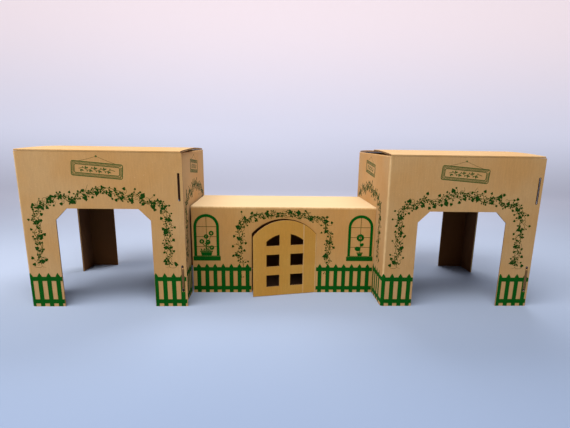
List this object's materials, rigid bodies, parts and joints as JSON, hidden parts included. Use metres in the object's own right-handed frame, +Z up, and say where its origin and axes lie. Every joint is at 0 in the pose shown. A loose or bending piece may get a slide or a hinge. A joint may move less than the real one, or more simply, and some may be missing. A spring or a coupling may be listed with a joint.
{
  "type": "cardboard castle",
  "caption": "Folded cardboard castle playhouse: open-arched towers with top flaps either side of a low hall with a hinged door, printed with ivy, fences and windows.",
  "frame": {"origin": "on the floor, below the middle of the castle's bounding box", "axes": "+X along the castle from the left tower to the right one as seen from the front, +Y from the front to the back, +Z up"},
  "size_m": [1.3332, 0.408, 0.414],
  "materials": {
    "kraft_board": "matte",
    "door_board": "matte",
    "fence_ink": "matte",
    "ivy_ink": "matte",
    "sign_ink": "matte"
  },
  "bodies": {
    "castle": {"left_tower_walls": "kraft_board", "right_tower_walls": "kraft_board", "hall_walls": "kraft_board", "left_tower_fence_print": "fence_ink", "left_tower_ivy_print": "ivy_ink", "left_tower_sign_print": "sign_ink", "right_tower_fence_print": "fence_ink", "right_tower_ivy_print": "ivy_ink", "right_tower_sign_print": "sign_ink", "hall_fence_print": "fence_ink", "hall_ivy_print": "ivy_ink", "hall_window_print": "fence_ink"},
    "left_tower_front_flap": {"left_tower_front_flap": "kraft_board"},
    "left_tower_back_flap": {"left_tower_back_flap": "kraft_board"},
    "right_tower_front_flap": {"right_tower_front_flap": "kraft_board"},
    "right_tower_back_flap": {"right_tower_back_flap": "kraft_board"},
    "door": {"door": "door_board"}
  },
  "joints": [
    {"name": "left_tower_front_flap_crease", "type": "hinge", "parent": "castle", "child": "left_tower_front_flap", "pos_m": [-0.46742, -0.202, 0.406], "axis": [1, 0, 0], "range_deg": [-1.22, 240]},
    {"name": "left_tower_back_flap_crease", "type": "hinge", "parent": "castle", "child": "left_tower_back_flap", "pos_m": [-0.46742, 0.204, 0.406], "axis": [-1, 0, 0], "range_deg": [-1.22, 240]},
    {"name": "right_tower_front_flap_crease", "type": "hinge", "parent": "castle", "child": "right_tower_front_flap", "pos_m": [0.45958, -0.202, 0.406], "axis": [1, 0, 0], "range_deg": [-2.07, 240]},
    {"name": "right_tower_back_flap_crease", "type": "hinge", "parent": "castle", "child": "right_tower_back_flap", "pos_m": [0.45958, 0.204, 0.406], "axis": [-1, 0, 0], "range_deg": [-1.22, 240]},
    {"name": "door_crease", "type": "hinge", "parent": "castle", "child": "door", "pos_m": [0.09158, -0.09, 0.11], "axis": [0, 0, 1], "range_deg": [-13, 127]}
  ]
}
